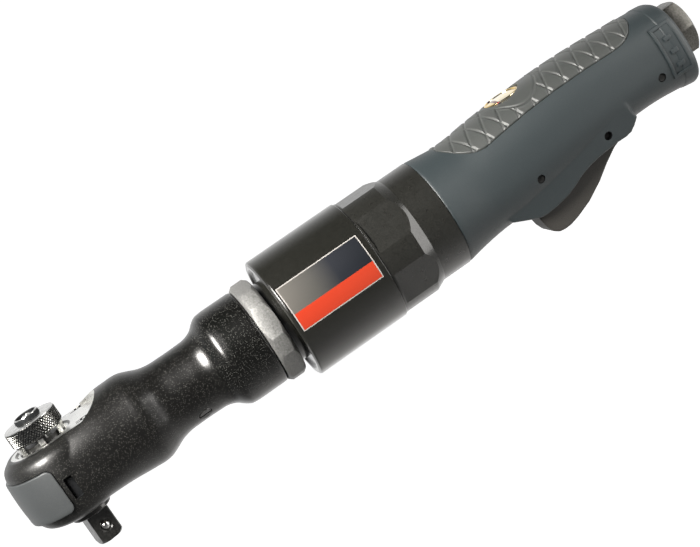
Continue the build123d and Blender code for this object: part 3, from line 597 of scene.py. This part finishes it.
# ------------------------------------------------------------------ square drive and anvil
HALF = SQUARE / 2
square = prism("square", fillet([(-HALF, -HALF, 0.5), (HALF, -HALF, 0.5), (HALF, HALF, 0.5),
                                 (-HALF, HALF, 0.5)], loop=True), -31.4, -18.9, "z")
cut(square, [lathe("tip", [(-31.4, 0), (-31.4, 5.1), (-30.0, 6.5), (-18.0, 6.5), (-18.0, 0)], "z", seg=128)],
    "INTERSECT")
steps = fillet([(-19.2, 0), (-19.2, 7.5, 0.3), (-18.7, 8.2, 0.3), (-16.9, 8.2), (-16.9, 8.6), (-8.3, 8.6),
                (-8.3, 12.6), (6.2, 12.6), (6.2, 8.2), (15.6, 8.2), (15.6, 0)])
body = lathe("anvil_body", steps, "z", seg=128)
cut(square, [body], "UNION")
ball_hole = rod("y", 2.02, -10.0, 2.5, (0, 0, BALL_H), 48)
lip = lathe("lip", [(-6.0, 0), (-6.0, 3.0), (-4.9, 2.85), (-4.35, 2.02), (-4.0, 0)], "y", (0, 0, BALL_H), 48)
bits = [ball_hole, lip]
for k in (0, math.pi):
    room = prism("room", [(5.5, -6.0), (12.0, -8.6), (14.0, -8.0), (14.0, 8.0), (12.0, 8.6), (5.5, 6.0)],
                 -4.6, 4.6, "z")
    bits.append(turn_z(room, k))
bits.append(rod("z", 4.1, -2.0, 16.0))
cut(square, bits)
square.name = "anvil_square"
turn_z(square, TURN)
stand_in(square, ["anvil"], "anvil", dark_steel)
BALL_R, BALL_OUT = 1.95, 3.765
ball = lathe("spring_ball", [(-BALL_OUT + BALL_R * math.cos(t), BALL_R * math.sin(t))
                             for t in np.linspace(math.pi, 0, 40)],
             "y", (0, 0, BALL_H), 72, soft=60)
turn_z(ball, TURN)
stand_in(ball, ["detent_ball"], "ball", knob_steel)

# ------------------------------------------------------------------ knurled direction knob
STEPS = 10     # columns of the mesh per tooth of the knurl
count = KNOB_TEETH * STEPS


def knurl(h, k):
    """Depth of the crossed 40 degree grooves at height h and column k."""
    u = k / STEPS
    rise = (h - KNOB_LOW) * math.tan(math.radians(40)) / (2 * math.pi * KNOB_R / KNOB_TEETH)
    a = 1 - abs(2 * ((u + rise) % 1) - 1)
    b = 1 - abs(2 * ((u - rise) % 1) - 1)
    return 0.55 * (1 - min(1.0, 1.7 * min(a, b)))


brim = [(-0.5, KNOB_R - 0.50), (-0.36, KNOB_R - 0.50), (-0.3, KNOB_R - 0.15), (-0.1, KNOB_R - 0.2),
        (0, KNOB_R - 0.4), (0.1, KNOB_R - 1.2)]
collar = [(0.45, 6.0), (0.5, 5.4), (0.6, 5.25), (1.9, 5.15), (2.15, 5.0), (2.2, 4.8), (2.15, 4.4),
          (1.95, 4.25), (0.8, 4.1), (0.6, 3.8), (0.5, 2.9), (-2.0, 2.9)]
rings = []
for h, r, mix in ([(KNOB_LOW, 7.0, 0), (KNOB_LOW, KNOB_R - 0.75, 0), (KNOB_LOW + 0.25, KNOB_R - 0.4, 0.3)]
                  + [(h, KNOB_R, 1) for h in np.linspace(KNOB_LOW + 0.55, KNOB_HIGH - 0.6, 49)]
                  + [(KNOB_HIGH + rise, r, 0) for rise, r in brim + collar]):
    ring = []
    for k in range(count):
        t = 2 * math.pi * k / count
        q = r - knurl(h, k) * mix
        ring.append((q * math.cos(t), q * math.sin(t), ZA + h))
    rings.append(ring)
knob = skin("direction_knob", rings, soft=28)
looks(knob, knob_steel)
knob.data.materials.append(painted_gap_shade)
knob.data.materials.append(knurl_steel)
# painted shade: the bottoms of the knurl, the groove under the rim and the collar's well get the near-black
# gap material
for face in knob.data.polygons:
    out = math.hypot(face.center.x, face.center.y) / MM
    h = face.center.z / MM - ZA
    painted_knurl_shade = KNOB_LOW + 0.5 < h < KNOB_HIGH - 0.33 and out < KNOB_R - 0.22
    well = h > KNOB_HIGH + 0.3 and out < 4.35 or KNOB_HIGH + 0.55 < h < KNOB_HIGH + 1.7 and out < 5.4
    if painted_knurl_shade or well:
        face.material_index = 1
    elif KNOB_LOW < h < KNOB_HIGH - 0.4:
        face.material_index = 2
cut(knob, [lathe("stalk", [(0.0, 0), (0.0, 4.0), (17.6, 4.0), (17.6, 0)], "z", seg=64)], "UNION", 28)
stand_in(knob, ["selector_knob"], "selector")
screw = lathe("knob_pin", fillet([(11.0, 0), (11.0, 1.6), (22.1, 1.6), (22.1, 2.8), (24.9, 2.8, 0.2),
                                  (25.9, 1.5, 0.3), (25.9, 1.05, 0.2), (24.9, 0.35), (24.8, 0)]), "z", seg=64)
stand_in(screw, ["knob_screw"], "selector", bright_steel)

# ------------------------------------------------------------------ clamp nut, barrel and label
ring = []
for k in range(6):
    for e in (-19.0, 19.0):
        a = math.radians(60.0 * k + 50.0 + e)
        ring.append((21.6 * math.sin(a), 21.6 * math.cos(a)))
nut = prism("coupling_nut", ring, NUT_FRONT, NUT_REAR, "x")
cut(nut, [lathe("chamfer", [(NUT_FRONT, 0), (NUT_FRONT, 20.3), (91.2, 21.8), (95.4, 21.8), (NUT_REAR, 20.3),
                            (NUT_REAR, 0)], "x", seg=256)], "INTERSECT")
cut(nut, [rod("x", 19.0, 89, 94.6, seg=128)])
cut(nut, [rod("x", 17.02, 94, 98, seg=128)])
bevel(nut, 0.12, 1, 20)
stand_in(nut, ["clamp_nut"], "tool_body", nut_steel)

shell = [(91.0, 12.6), (91.0, 17.0), (93.5, 17.0), (93.5, 16.2), (94.6, 16.2), (94.6, 17.0), (97.2, 17.0),
         (97.6, 17.4, 0.2), (101.2, 17.4), (101.2, 22.4, 0.3), (100.2, 23.0, 0.3), (100.2, 24.6, 0.3),
         (100.7, 25.6, 0.35), (101.3, BARREL_R, 0.3), (BARREL_REAR - 0.25, BARREL_R, 0.15),
         (BARREL_REAR, BARREL_R - 0.3, 0.1), (BARREL_REAR, 23.4), (133.0, 23.4), (133.0, 21.5), (103.5, 21.5),
         (103.5, 10.2), (98.0, 10.2), (98.0, 12.6)]
barrel = lathe("barrel_shell", fillet(shell, True), "x", seg=256, loop=True, soft=24)
stand_in(barrel, ["barrel"], "tool_body", barrel_gloss)

label_top = shader("label_film", (0.1, 0.1, 0.1), 0.28, 0.0, Coat_Weight=0.5, Coat_Roughness=0.08)
tc = node(label_top, "ShaderNodeUVMap")
sep = node(label_top, "ShaderNodeSeparateXYZ")
wire(label_top, tc.outputs["UV"], sep.inputs["Vector"])
# painted reflection: the film is lighter grey at its front end and fades to near black towards the rear,
# standing in for a soft reflection of the light
painted_reflection = ramp(label_top, sep.outputs["X"], [(0.0, (0.062, 0.058, 0.052)), (0.35, (0.036, 0.035, 0.032)),
                                          (0.62, (0.008, 0.009, 0.012)), (1.0, (0.004, 0.005, 0.007))])
band = ramp(label_top, sep.outputs["Y"], [(0.375, (0,)), (0.378, (1,))])
mixer = node(label_top, "ShaderNodeMix", data_type="RGBA")
orange = ramp(label_top, sep.outputs["X"], [(0.0, (0.245, 0.019, 0.006)), (1.0, (0.225, 0.020, 0.007))])
wire(label_top, band, mixer.inputs[0])
wire(label_top, orange, mixer.inputs[6])
wire(label_top, painted_reflection, mixer.inputs[7])
wire(label_top, mixer.outputs[2], socket(label_top, "Base Color"))
bump(label_top, noise(label_top, 700, 2), 0.05, 0.02)
label_edge = shader("label_border", (0.20, 0.19, 0.18), 0.35, 0.0)
gloss(label_edge, noise(label_edge, 900, 3), 0.3, 0.45)


def label_sheet(name, x0, x1, a0, a1, lift, nx, na, look):
    """A thin curved sheet on the barrel with UVs: U along the tool, V up the side."""
    rows = []
    for i in range(nx + 1):
        row = []
        for j in range(na + 1):
            a = math.radians(a0 + (a1 - a0) * j / na)
            r = BARREL_R + lift
            row.append((x0 + (x1 - x0) * i / nx, -r * math.cos(a), ZA + r * math.sin(a)))
        rows.append(row)
    verts = [p for row in rows for p in row]
    w = na + 1
    faces = [(i * w + j, (i + 1) * w + j, (i + 1) * w + j + 1, i * w + j + 1)
             for i in range(nx) for j in range(na)]
    o = link(name, verts, faces)
    uv = o.data.uv_layers.new(name="UVMap")
    for corner in o.data.loops:
        i, j = divmod(corner.vertex_index, w)
        uv.data[corner.index].uv = (i / nx, j / na)
    m = o.modifiers.new("thick", "SOLIDIFY")
    m.thickness = lift * MM
    m.offset = -1
    bake(o, 40)
    return looks(o, look)


border = label_sheet("label_border", 102.0, 138.5, -6.5, 36.5, 0.07, 8, 40, label_edge)
stand_in(border, ["barrel_label"], "tool_body")
film = label_sheet("label_film", 102.45, 138.05, -5.5, 35.5, 0.12, 60, 40, label_top)
stand_in(film, ["barrel_label"], "tool_body")

# ------------------------------------------------------------------ motor housing
case = fillet([(157.5, 0), (157.5, 21.5), (133.0, 21.5), (133.0, 23.4), (BARREL_REAR, 23.4),
               (BARREL_REAR, 25.0, 0.1), (141.3, 25.2, 0.1), (156.5, 25.2, 0.3), (160.8, 23.2, 0.3),
               (GRIP_FRONT, 23.2), (GRIP_FRONT, 17.5), (186.0, 17.5), (186.0, 0)])
motor = lathe("motor_case", case, "x", seg=360, soft=24)
flats = []
for k in range(6):
    f = brick(142.0, 160.5, -30, 30, 23.9, 40)
    f.data.transform(Matrix.Translation(Vector((0, 0, -ZA * MM))))
    f.data.transform(Matrix.Rotation(math.radians(60 * k), 4, "X"))
    f.data.transform(Matrix.Translation(Vector((0, 0, ZA * MM))))
    flats.append(f)
cut(motor, flats + [rod("x", 4.8, 157, 187, (0, 0, -1.0), 48), rod("x", 3.1, 157, 187, (0, 13.2, -2.0), 32),
                    rod("x", 3.1, 157, 187, (0, -13.2, -2.0), 32)], soft=14)
stand_in(motor, ["motor_housing"], "tool_body", housing_black)

# ------------------------------------------------------------------ handle
# (x, half width, top, bottom, power of the rounded section)
HANDLE = ((173.2, 23.2, 23.2, -23.2, 2.0), (179.0, 22.4, 22.5, -22.1, 2.0), (189.4, 20.9, 21.5, -20.6, 2.1),
          (203.0, 20.3, 22.6, -19.8, 2.2), (222.0, 20.2, 23.7, -17.2, 2.3), (241.0, 19.9, 24.2, -14.4, 2.4),
          (257.0, 19.4, 23.7, -12.9, 2.4), (270.0, 18.9, 22.9, -12.7, 2.4), (281.0, 18.6, 22.3, -13.7, 2.4),
          (291.0, 18.4, 21.3, -15.2, 2.4))
COLUMNS = list(zip(*HANDLE))
LAST = 1199
SAMPLES = [np.array([spread(COLUMNS[0], COLUMNS[j], x) for x in np.linspace(GRIP_FRONT, GRIP_REAR, LAST + 1)])
           for j in (1, 2, 3, 4)]


def handle_at(x):
    """Half width, top, bottom and power of the handle's section, from the sampled table."""
    f = min(max((x - GRIP_FRONT) / (GRIP_REAR - GRIP_FRONT) * LAST, 0.0), LAST - 0.001)
    i = int(f)
    return [col[i] + (col[i + 1] - col[i]) * (f - i) for col in SAMPLES]


def handle_point(x, a, grow=0.0):
    half, top, low, n = handle_at(x)
    mid, tall = (top + low) / 2, (top - low) / 2
    c, s = math.cos(a), math.sin(a)
    r = (abs(c) ** n + abs(s) ** n) ** (-1 / n)
    return (x, (half + grow) * r * c, ZA + mid + (tall + grow) * r * s)


def near_y(x, h, grow=0.0):
    """Half width of the handle at (x, h)."""
    half, top, low, n = handle_at(x)
    mid, tall = (top + low) / 2, (top - low) / 2 + grow
    return (half + grow) * max(0.0, 1 - (abs(h - mid) / tall) ** n) ** (1 / n)


ROUND = 2.0    # radius of the handle's rear edge
xs = list(np.arange(GRIP_FRONT, GRIP_REAR - ROUND, 1.2)) + list(np.linspace(GRIP_REAR - ROUND, GRIP_REAR, 9))
rings = []
for x in xs:
    edge = max(0.0, x - (GRIP_REAR - ROUND))
    grow = math.sqrt(max(0.0, ROUND ** 2 - edge ** 2)) - ROUND
    front = max(0.0, 0.5 - (x - GRIP_FRONT))
    rings.append([handle_point(x, 2 * math.pi * k / 240, grow - 0.5 * front) for k in range(240)])
grip = skin("grip_case", rings)
SHROUD = [(191.5, -12.0), (194.6, -17.9), (199.5, -20.3), (203.6, -22.2), (206.3, -23.2), (209.0, -23.4),
          (213.5, -23.0), (219.7, -21.8), (224.0, -20.1), (228.2, -18.0), (232.5, -16.7), (237.2, -15.8),
          (246.2, -15.1), (251.3, -15.3), (253.8, -14.7), (256.0, -13.2), (258.5, -10.6), (256.0, -3.0),
          (197.0, -3.0)]
shroud = prism("shroud", SHROUD, -11, 11, taper=lambda h: 11.4 + 0.34 * (h + 23.6))
cut(grip, [shroud], "UNION")
melt(grip, 0.45, 9)
# the lever's pocket in the handle is lined with painted shade
POCKET = [(202.6, -30.0), (202.6, -11.0), (236.0, -11.0), (240.0, -5.2), (249.5, -5.2), (256.0, -11.0),
          (257.0, -17.5), (257.0, -30.0)]
inside = looks(prism("pocket", POCKET, -7.5, 7.5), painted_gap_shade)


def pad_edge(x):
    """Height of the grip pad's lower edge on both sides."""
    pts = ((185.4, 21.2), (187.0, 19.8), (190.0, 17.4), (193.0, 15.5), (196.0, 14.3), (199.5, 13.7),
           (206.5, 14.5), (221.0, 16.0), (235.0, 16.8), (249.5, 16.8), (263.5, 16.3), (267.5, 16.5),
           (270.5, 17.2), (273.5, 18.7), (276.0, 20.6), (277.2, 21.8), (277.8, 22.3))
    return float(np.interp(x, [p[0] for p in pts], [p[1] for p in pts]))


def pad_block(grow, low, high):
    """Solid over the pad's outline between two offsets from the handle's surface."""
    rows = []
    for x in np.linspace(PAD_FRONT - grow, PAD_REAR + grow, 160):
        edge = pad_edge(min(max(x, PAD_FRONT), PAD_REAR)) - grow
        span = []
        for off in (low, high):
            half, top, bot, n = handle_at(x)
            mid, tall = (top + bot) / 2, (top - bot) / 2
            v = min(1.0, max(0.0, (edge - mid) / tall))
            a0 = math.atan2(v, max(1e-6, (1 - v ** n) ** (1 / n)))
            span.append([handle_point(x, a0 + (math.pi - 2 * a0) * k / 90, off) for k in range(91)])
        rows.append(span[0] + span[1][::-1])
    return skin("pad_block", rows)


# the pin holes, the inlet's bore and the slot under it are lined with painted shade
grip_tools = [inside, pad_block(0.14, -1.5, 4.0)]
for x, h in CROSS_PINS:
    for s in (-1, 1):
        w = near_y(x, h)
        ends = sorted((s * (w - 5.5), s * (w + 3.0)))
        grip_tools.append(looks(rod("y", PIN_R, ends[0], ends[1], (x, 0, h), 40), painted_gap_shade))
grip_tools.append(looks(rod("x", 9.9, 290.2, 293.0, (0, 0, INLET_H), 96), painted_gap_shade))
grip_tools.append(looks(rod("x", 8.05, 266.0, 291.0, (0, 0, INLET_H), 96), painted_gap_shade))
grip_tools.append(looks(brick(286.0, 293.0, -8.0, 8.0, -9.6, -5.2), painted_gap_shade))
looks(grip, composite)
carve(grip, grip_tools, 35)
stand_in(grip, ["grip_shell"], "tool_body")

# grip pad with diamond grooves
def teardrop(x, y):
    """Rough signed distance in plan to the smooth leaf round the badge (negative inside)."""
    if x < LEAF_X:
        t = (x - LEAF_X) / LEAF_FRONT
        wide = LEAF_HALF * (1 - t * t)
        slope = 2 * LEAF_HALF * abs(t) / LEAF_FRONT
    else:
        t = (x - LEAF_X) / LEAF_REAR
        wide = LEAF_HALF * math.sqrt(max(0.0, 1 - t * t))
        slope = LEAF_HALF * abs(t) / LEAF_REAR / max(0.25, wide / LEAF_HALF)
    off = (abs(y) - wide) / math.hypot(1, min(3.0, slope))
    if t < -1:
        off = max(off, (-1 - t) * LEAF_FRONT * 0.9)
    if t > 1:
        off = max(off, (t - 1) * LEAF_REAR)
    return off


NX, NA = 430, 300
rows_top, rows_low = [], []
for x in np.linspace(PAD_FRONT, PAD_REAR, NX):
    half, top, bot, n = handle_at(x)
    mid, tall = (top + bot) / 2, (top - bot) / 2
    v = (pad_edge(x) - mid) / tall
    a0 = math.atan2(v, max(1e-6, (1 - min(1.0, v) ** n) ** (1 / n)))
    arc = (math.pi - 2 * a0) * (half + tall) / 2
    row_t, row_l = [], []
    for k in range(NA):
        a = a0 + (math.pi - 2 * a0) * k / (NA - 1)
        s = (a - math.pi / 2) * (half + tall) / 2
        u = (x - PAD_FRONT) / PITCH - 0.38
        w = (s - 5.25) / (PITCH * 2.8)
        ga = abs((u + w) % 1 - 0.5) * PITCH * 0.94
        gb = abs((u - w) % 1 - 0.5) * PITCH * 0.94
        g = min(ga, gb)
        inset = min(x - PAD_FRONT, PAD_REAR - x, arc / 2 - abs(s))
        drop_in = teardrop(x, handle_point(x, a)[1])
        groove = 0.50 * math.exp(-(g / 0.44) ** 2)
        if drop_in < 0.9:
            groove *= max(0.0, min(1.0, drop_in / 0.9))
        lift = 0.34 - groove
        lift -= 0.30 * math.exp(-(drop_in / 0.40) ** 2) - 0.16 * math.exp(-((drop_in - 0.9) / 0.4) ** 2)
        lift -= 0.60 * max(0.0, 1 - inset / 0.7) ** 2
        row_t.append(handle_point(x, a, lift))
        row_l.append(handle_point(x, a, -1.45))
    rows_top.append(row_t)
    rows_low.append(row_l)
pad = skin("grip_pad_skin", [t + l[::-1] for t, l in zip(rows_top, rows_low)], soft=50)
cut(pad, [rod("z", 8.05, 16.0, 30.0, (BADGE_X, 0, 0), 128)], soft=50)
stand_in(pad, ["grip_pad"], "tool_body", pad_rubber)

# raised rear band, embossed frame and plain ribs
def wrap(name, x0, x1, h0, h1, nx, nh, deep=0.5):
    """A patch on the near side of the handle between two heights, raised by deep and sunk as far."""
    rows = []
    for i in range(nx + 1):
        x = x0 + (x1 - x0) * i / nx
        heights = [h0 + (h1 - h0) * j / nh for j in range(nh + 1)]
        outer = [(x, -near_y(x, h, deep), ZA + h) for h in heights]
        inner = [(x, -near_y(x, h, -deep), ZA + h) for h in heights]
        rows.append(outer + inner[::-1])
    return skin(name, rows, soft=40)


rings = []
for x, g in ((283.6, -0.6), (283.7, 0.02), (283.95, 0.2), (284.4, 0.26), (287.5, 0.26), (288.6, 0.22),
             (289.3, 0.05), (289.8, -0.6)):
    rings.append([handle_point(x, 2 * math.pi * k / 200, g) for k in range(200)])
rear_band = skin("rear_band", rings, soft=40)
cut(rear_band, [rod("x", 15.0, 280, 292, (0, 0, 4.0), 96)])
stand_in(rear_band, ["grip_shell"], "tool_body", composite)
marks = [wrap("frame_low", 279.0, 288.4, -6.8, -5.5, 12, 3),
         wrap("frame_high", 279.0, 288.4, 13.8, 15.2, 12, 3),
         wrap("frame_front", 279.0, 280.3, -6.8, 15.2, 3, 24),
         wrap("frame_back", 287.3, 288.4, -6.8, 15.2, 3, 24)]
for k in range(3):
    marks.append(wrap("rib", 282.2, 285.6, -3.4 + 5.8 * k, -1.5 + 5.8 * k, 6, 3))
for o in marks:
    bevel(o, 0.16, 2)
    stand_in(o, ["grip_shell"], "tool_body", composite)

# badge: a rim and a low dome inside it
DOME_R, DOME_LOW, DOME_RISE = 6.6, 23.15, 0.75
bezel = fillet([(20.4, 0), (20.4, 7.7), (23.35, 7.7, 0.15), (23.6, 7.4, 0.2), (23.5, 6.9, 0.15),
                (DOME_LOW, 6.7)])
dome = [(DOME_LOW + DOME_RISE * (1 - (r / DOME_R) ** 2), r) for r in np.linspace(DOME_R, 0, 14)]
badge = lathe("badge_dome", bezel + dome, "z", (BADGE_X, 0, 0), 128, soft=25)
stand_in(badge, ["badge"], "tool_body", gold)

# ------------------------------------------------------------------ lever
LEVER = [(206.0, -24.6), (205.9, -20.5), (208.5, -17.6), (213.0, -15.7), (216.0, -15.1), (231.0, -14.6),
         (237.0, -12.6), (240.4, -9.2), (242.6, -7.0), (244.3, -6.4), (246.6, -6.9), (248.6, -9.0),
         (251.2, -13.2), (250.9, -16.3), (246.8, -17.8), (240.8, -21.4), (234.8, -25.6), (227.0, -29.9),
         (219.7, -32.5), (215.5, -33.5), (212.6, -33.6), (210.2, -33.1), (208.2, -31.6), (206.8, -28.6)]
lever = prism("throttle_lever", LEVER, -7.0, 7.0)
melt(lever, 0.4, 4)
hollow = prism("hollow", [(209.0, -22.5), (214.5, -17.9), (230.5, -17.2), (236.0, -18.2), (229.0, -23.4),
                          (218.0, -27.6), (212.5, -27.0)], -5.0, 5.0)
cut(lever, [hollow, rod("y", 1.49, -8, 8, (LEVER_PIN[0], 0, LEVER_PIN[1]), 40)])
stand_in(lever, ["lever"], "lever", lever_black)

# ------------------------------------------------------------------ air inlet
CORNER = HEX_FLATS / 2 / math.cos(math.pi / 6)
hexagon = [(CORNER * math.cos(math.pi * k / 3), INLET_H + CORNER * math.sin(math.pi * k / 3))
           for k in range(6)]
inlet = prism("inlet_hex", hexagon, HEX_FRONT, HEX_REAR, "x")
chamfer = [(HEX_FRONT, 0), (HEX_FRONT, 11.5), (291.6, 12.2), (297.9, 12.2), (HEX_REAR, 10.3), (HEX_REAR, 0)]
cut(inlet, [lathe("inlet_chamfer", chamfer, "x", (0, 0, INLET_H), 160)], "INTERSECT")
bevel(inlet, 0.2, 2, 20)
cut(inlet, [rod("x", 8.0, 266.2, 291.2, (0, 0, INLET_H), 96)], "UNION")
CREST, ROOT, THREAD_PITCH = 5.56, 6.15, 1.33
thread = [(285.2, 0), (285.2, 5.0), (286.0, 5.0), (286.0, CREST)]
for k in range(9):
    thread += [(286.6 + THREAD_PITCH * k, CREST), (287.27 + THREAD_PITCH * k, ROOT)]
thread += [(298.6, CREST), (299.0, 6.5), (300.0, 6.8), (300.0, 0)]
cut(inlet, [lathe("thread", thread, "x", (0, 0, INLET_H), 96),
            rod("x", 4.6, 266, 286.5, (0, 0, INLET_H), 64)])
stand_in(inlet, ["inlet_bushing"], "tool_body", inlet_steel)

# ------------------------------------------------------------------ floor and light
me = bpy.data.meshes.new("floor")
me.from_pydata([(x, y, FLOOR_Z) for x, y in ((-40, -40), (40, -40), (40, 40), (-40, 40))], [], [(0, 1, 2, 3)])
floor = bpy.data.objects.new("floor", me)
bpy.context.collection.objects.link(floor)
paper = shader("floor_paper", (0.66, 0.66, 0.66), 0.8, Emission_Color=(1, 1, 1, 1))
# it glows behind the tool, so the underside sees a dimmer floor than the outline stands against
glow = ramp(paper, along(paper, "Y", -0.5, 1.5), [(0.36, (0.0,)), (0.71, (0.88,))])
glow.node.color_ramp.interpolation = "EASE"
wire(paper, glow, socket(paper, "Emission Strength"))
bump(paper, noise(paper, 30, 2), 0.02, 0.1)
me.materials.append(paper)

world = bpy.data.worlds.new("studio")
world.use_nodes = True
bpy.context.scene.world = world
# a dark room above and in front of the tool, and white walls behind it
toward = node(world, "ShaderNodeTexCoord")
faces = node(world, "ShaderNodeVectorMath", operation="DOT_PRODUCT")
faces.inputs[1].default_value = (0.0, -0.6, 0.8)
wire(world, toward.outputs["Generated"], faces.inputs[0])
reach = node(world, "ShaderNodeMapRange")
for name, value in (("From Min", -0.20), ("From Max", 0.50), ("To Min", 1.05), ("To Max", 0.07)):
    reach.inputs[name].default_value = value
wire(world, faces.outputs["Value"], reach.inputs["Value"])
wire(world, reach.outputs["Result"], world.node_tree.nodes["Background"].inputs[0])
world.node_tree.nodes["Background"].inputs[1].default_value = 1.0


def soft_light(name, place, power, size, color, look, tall=(0, 0, 1), beam=180):
    """Rectangular lamp aimed at a point; its second size runs along the tall direction."""
    data = bpy.data.lights.new(name, "AREA")
    data.shape = "RECTANGLE"
    data.size, data.size_y = size
    data.energy = power
    data.spread = math.radians(beam)
    data.color = color
    o = bpy.data.objects.new(name, data)
    bpy.context.collection.objects.link(o)
    rear = (Vector(place) - Vector(look)).normalized()
    wide = Vector(tall).cross(rear).normalized()
    o.matrix_world = Matrix.Translation(place) @ Matrix((wide, rear.cross(wide), rear)).transposed().to_4x4()
    return o


soft_light("key", (-0.24, -0.36, 0.46), 3.8, (0.22, 0.45), (1.0, 0.97, 0.93), (0.07, 0, 0.02),
           (0, 0.6, 0.8), 60)
soft_light("side", (0.72, -0.30, 0.06), 6.0, (0.36, 0.90), (1.0, 0.98, 0.95), (0.16, 0, 0.02))

import json
